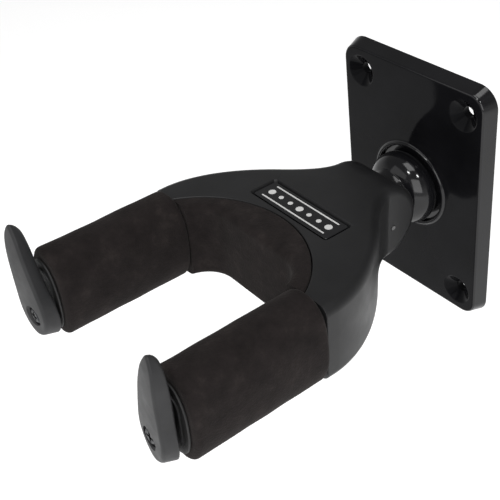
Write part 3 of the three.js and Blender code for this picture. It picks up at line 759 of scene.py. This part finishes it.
# ---- arm ends ------------------------------------------------------------------------------
def stop_ring(side, inset, out):
    return arm_ring(side, STOP_HALF_W - inset, STOP_HALF_H - inset, SLEEVE_POWER, out)


def stop_washer(name, side):
    """A thin oval collar with rounded edges."""
    rings = [stop_ring(side, STOP_EDGE * (1 - s), STOP_START + STOP_EDGE * (1 - c))
             for s, c in quarter(3)]
    rings += [stop_ring(side, STOP_EDGE * (1 - c), STOP_END - STOP_EDGE * (1 - s))
              for s, c in quarter(3)]
    return loft(name, rings, YOKE_PLACE)


CAP_CURVES = [smooth_closed(points, 10) for points in (CAP_FRONT_FACE, CAP_BACK_FACE)]


def cap_ring(side, depth, inset, shrink=1.0, crown=0.0):
    """The cap's outline at a share of its depth from the back, drawn in by inset, then shrunk
    towards its middle and crowned."""
    ring = []
    for (face, along), (rear, _) in zip(*CAP_CURVES):
        spread = math.sqrt(1 - (1 - depth) ** 2) if face[1] > 0 else depth
        x = rear[0] + (face[0] - rear[0]) * spread - inset * along[1]
        z = rear[1] + (face[1] - rear[1]) * spread + inset * along[0]
        x = CAP_MIDDLE[0] + (x - CAP_MIDDLE[0]) * shrink
        z = CAP_MIDDLE[1] + (z - CAP_MIDDLE[1]) * shrink
        lean = CAP_LEAN * (max(0, z - CAP_LEAN_FROM) / (CAP_TOP - CAP_LEAN_FROM)) ** 2
        out = CAP_BACK + (CAP_FRONT - lean - CAP_BACK) * depth + CAP_SLANT * x + crown
        ring.append((side * (x + ARM_X), -out, z))
    return ring


def end_cap(name, side):
    """A leaf-shaped paddle with a softly crowned face and a recess for its screw."""
    rim = CAP_EDGE / (CAP_FRONT - CAP_BACK)
    rings = [cap_ring(side, CAP_REAR_DEPTH * (1 - c), CAP_REAR_EDGE * (1 - s)) for s, c in quarter(5)]
    rings += [cap_ring(side, depth * (1 - rim), 0) for depth in CAP_LEVELS]
    rings += [cap_ring(side, 1 - rim * (1 - s), CAP_EDGE * (1 - c)) for s, c in quarter(8)]
    rings += [cap_ring(side, 1, CAP_EDGE, shrink, CAP_CROWN * (1 - shrink ** 2))
              for shrink in CAP_SHRINKS]
    place = YOKE_PLACE @ Matrix.Translation((side * (ARM_X - SCREW_INSET) * MM, 0, SCREW_Z * MM))
    profile = [(r, below - CAP_FRONT) for r, below in CAP_RECESS]
    recess = lathe("recess", profile, HOLE_TURNS, place)
    return carve(loft(name, rings, YOKE_PLACE), recess)


# ---- pieces --------------------------------------------------------------------------------
def add_arm_pieces(word, side):
    """The sleeve, washer and cap of one arm; side is -1 for the left and 1 for the right."""
    sleeve = foam_sleeve("sleeve_foam_" + word, side)
    finish_piece(sleeve, "yoke", FOAM, ["foam_sleeve_" + word], FOAM_SHARP)
    finish_piece(stop_washer("stop_shape_" + word, side), "yoke", BLACK_PLASTIC,
                 ["stop_washer_" + word])
    finish_piece(end_cap("cap_shape_" + word, side), "yoke", CAP,
                 ["end_cap_" + word], CAP_SHARP)


def paint_node(node, paint):
    """Gives a CAD node that stays a new material."""
    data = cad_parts[node].data
    data.materials.clear()
    data.materials.append(paint)


brighten_rims(finish_piece(wall_plate(), "plate", PLATE_GLOSS, ["wall_plate"]))
finish_piece(dome(), "plate", DOME_GLOSS, ["ball_housing"])
finish_piece(yoke_frame(), "yoke", SATIN, ["yoke_frame"])
finish_piece(cross_rod("pin_shape", PIN_RADIUS, KNUCKLE_HALF + PIN_PROUD), "yoke", PIN_STEEL,
             ["cross_pin"])
finish_piece(badge(), "yoke", BADGE, ["badge_plate"])
finish_piece(badge_print(), "yoke", PRINT)
finish_piece(crotch_pad(), "yoke", FOAM, ["crotch_pad"], FOAM_SHARP)
add_arm_pieces("left", -1)
add_arm_pieces("right", 1)
for kept_node in ("housing_circlip", "back_plug", "cap_screw_left", "cap_screw_right"):
    paint_node(kept_node, DARK_STEEL)
for kept_node in ("ball_seat", "pressure_cup"):
    paint_node(kept_node, NYLON)
for kept_node in ("cone_spring", "ball_stud"):
    paint_node(kept_node, STEEL)


# ---- floor, lights and camera --------------------------------------------------------------
def add_floor():
    bpy.ops.mesh.primitive_plane_add(size=FLOOR_SIZE, location=(0, 0, FLOOR_HEIGHT))
    floor = bpy.context.object
    floor.name = "floor"
    floor.data.materials.append(floor_paint())


def add_light(name, at, width, watts):
    lamp = bpy.data.lights.new(name, "AREA")
    lamp.shape = "SQUARE"
    lamp.size = width
    lamp.energy = watts
    obj = bpy.data.objects.new(name, lamp)
    bpy.context.scene.collection.objects.link(obj)
    obj.location = at
    obj.rotation_euler = (Vector(LIGHT_AIM) - Vector(at)).to_track_quat("-Z", "Y").to_euler()


def add_world():
    """A studio that is pale at the horizon and dimmer overhead."""
    world = bpy.data.worlds.new("studio")
    world.use_nodes = True
    nodes, links = world.node_tree.nodes, world.node_tree.links
    way = nodes.new("ShaderNodeTexCoord")
    split = nodes.new("ShaderNodeSeparateXYZ")
    ramp = nodes.new("ShaderNodeValToRGB")
    set_stops(ramp.color_ramp, SKY)
    links.new(way.outputs["Generated"], split.inputs["Vector"])
    links.new(split.outputs["Z"], ramp.inputs["Fac"])
    links.new(ramp.outputs["Color"], nodes["Background"].inputs["Color"])
    bpy.context.scene.world = world


def add_camera():
    data = bpy.data.cameras.new("camera")
    data.lens, data.sensor_width = LENS, SENSOR
    data.clip_start = CLIP_START
    camera = bpy.data.objects.new("camera", data)
    bpy.context.scene.collection.objects.link(camera)
    axes = Matrix((CAMERA_RIGHT, CAMERA_UP, CAMERA_BACK)).transposed().to_4x4()
    camera.matrix_world = Matrix.Translation(CAMERA_AT) @ axes
    bpy.context.scene.camera = camera


add_floor()
for light in LIGHTS:
    add_light(*light)
add_world()
add_camera()
bpy.context.scene.view_settings.view_transform = "Standard"
